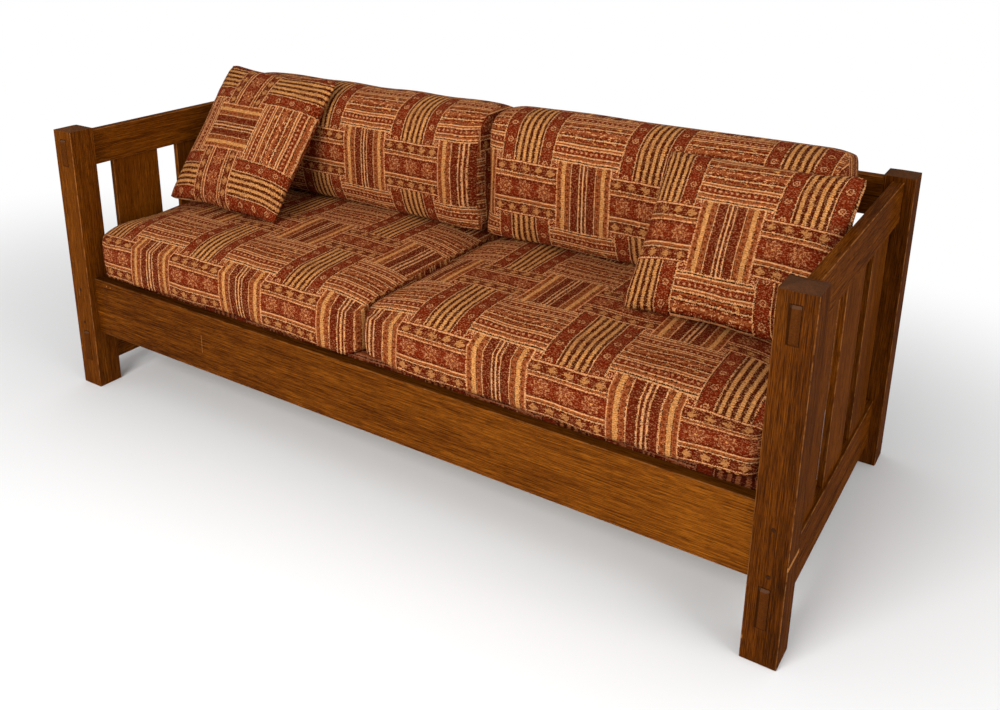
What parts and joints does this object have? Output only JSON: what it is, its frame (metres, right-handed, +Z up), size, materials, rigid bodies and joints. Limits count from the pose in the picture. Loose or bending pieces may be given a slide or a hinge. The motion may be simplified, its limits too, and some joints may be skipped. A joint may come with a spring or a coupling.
{
  "type": "mission settle",
  "caption": "Mission settle: oak frame with slatted ends and back, bevelled through tenons, drop-in seat, loose box cushions and pillows in striped patchwork cloth.",
  "frame": {"origin": "on the floor under the middle of the frame", "axes": "+X along the settle to the sitter's left as seen from the front (viewer's right), +Y from front to back, +Z up"},
  "size_m": [2.134, 0.942, 0.8999],
  "materials": {
    "fumed_oak": "satin lacquer over fumed and stained quarter-sawn oak",
    "oak_peg": "satin, end grain, darker than the post",
    "secondary_wood": "planed, unfinished",
    "screw_steel": "zinc plated",
    "webbing": "woven elastic webbing",
    "pad_felt": "felted pad",
    "decking_cloth": "plain woven grey decking cloth",
    "cushion_cloth": "chenille, patchwork of red, gold and mauve stripe and ikat bands"
  },
  "bodies": {
    "settle_frame": {"post_front_left": "fumed_oak", "post_rear_left": "fumed_oak", "post_front_right": "fumed_oak", "post_rear_right": "fumed_oak", "side_top_rail_left": "fumed_oak", "side_top_rail_right": "fumed_oak", "side_lower_rail_left": "fumed_oak", "side_lower_rail_right": "fumed_oak", "side_slat_left_1": "fumed_oak", "side_slat_left_2": "fumed_oak", "side_slat_left_3": "fumed_oak", "side_slat_right_1": "fumed_oak", "side_slat_right_2": "fumed_oak", "side_slat_right_3": "fumed_oak", "front_seat_rail": "fumed_oak", "back_seat_rail": "fumed_oak", "back_top_rail": "fumed_oak", "back_slat_1": "fumed_oak", "back_slat_2": "fumed_oak", "back_slat_3": "fumed_oak", "back_slat_4": "fumed_oak", "back_slat_5": "fumed_oak", "back_slat_6": "fumed_oak", "back_slat_7": "fumed_oak", "back_slat_8": "fumed_oak", "tenon_pegs": "oak_peg", "seat_cleat_front": "secondary_wood", "seat_cleat_rear": "secondary_wood", "cleat_screws": "screw_steel"},
    "drop_in_seat": {"seat_frame_front_bar": "secondary_wood", "seat_frame_rear_bar": "secondary_wood", "seat_frame_cross_bar_1": "secondary_wood", "seat_frame_cross_bar_2": "secondary_wood", "seat_frame_cross_bar_3": "secondary_wood", "seat_frame_cross_bar_4": "secondary_wood", "seat_frame_cross_bar_5": "secondary_wood", "webbing_straps": "webbing", "deck_pad": "pad_felt", "deck_cloth": "decking_cloth", "deck_front_band": "cushion_cloth"},
    "seat_cushion_left": {"seat_cushion_left": "cushion_cloth"},
    "back_cushion_left": {"back_cushion_left": "cushion_cloth"},
    "pillow_left": {"pillow_left": "cushion_cloth"},
    "seat_cushion_right": {"seat_cushion_right": "cushion_cloth"},
    "back_cushion_right": {"back_cushion_right": "cushion_cloth"},
    "pillow_right": {"pillow_right": "cushion_cloth"}
  },
  "joints": [
    {"name": "drop_in_seat_lift", "type": "slide", "parent": "settle_frame", "child": "drop_in_seat", "axis": [0, 0, 1], "range_m": [0, 0.52]},
    {"name": "seat_cushion_left_lift", "type": "slide", "parent": "drop_in_seat", "child": "seat_cushion_left", "axis": [0, 0, 1], "range_m": [0, 0.45]},
    {"name": "back_cushion_left_lift", "type": "slide", "parent": "seat_cushion_left", "child": "back_cushion_left", "axis": [0, 0, 1], "range_m": [0, 0.3]},
    {"name": "pillow_left_lift", "type": "slide", "parent": "back_cushion_left", "child": "pillow_left", "axis": [0, 0, 1], "range_m": [0, 0.3]},
    {"name": "seat_cushion_right_lift", "type": "slide", "parent": "drop_in_seat", "child": "seat_cushion_right", "axis": [0, 0, 1], "range_m": [0, 0.45]},
    {"name": "back_cushion_right_lift", "type": "slide", "parent": "seat_cushion_right", "child": "back_cushion_right", "axis": [0, 0, 1], "range_m": [0, 0.3]},
    {"name": "pillow_right_lift", "type": "slide", "parent": "back_cushion_right", "child": "pillow_right", "axis": [0, 0, 1], "range_m": [0, 0.3]}
  ]
}
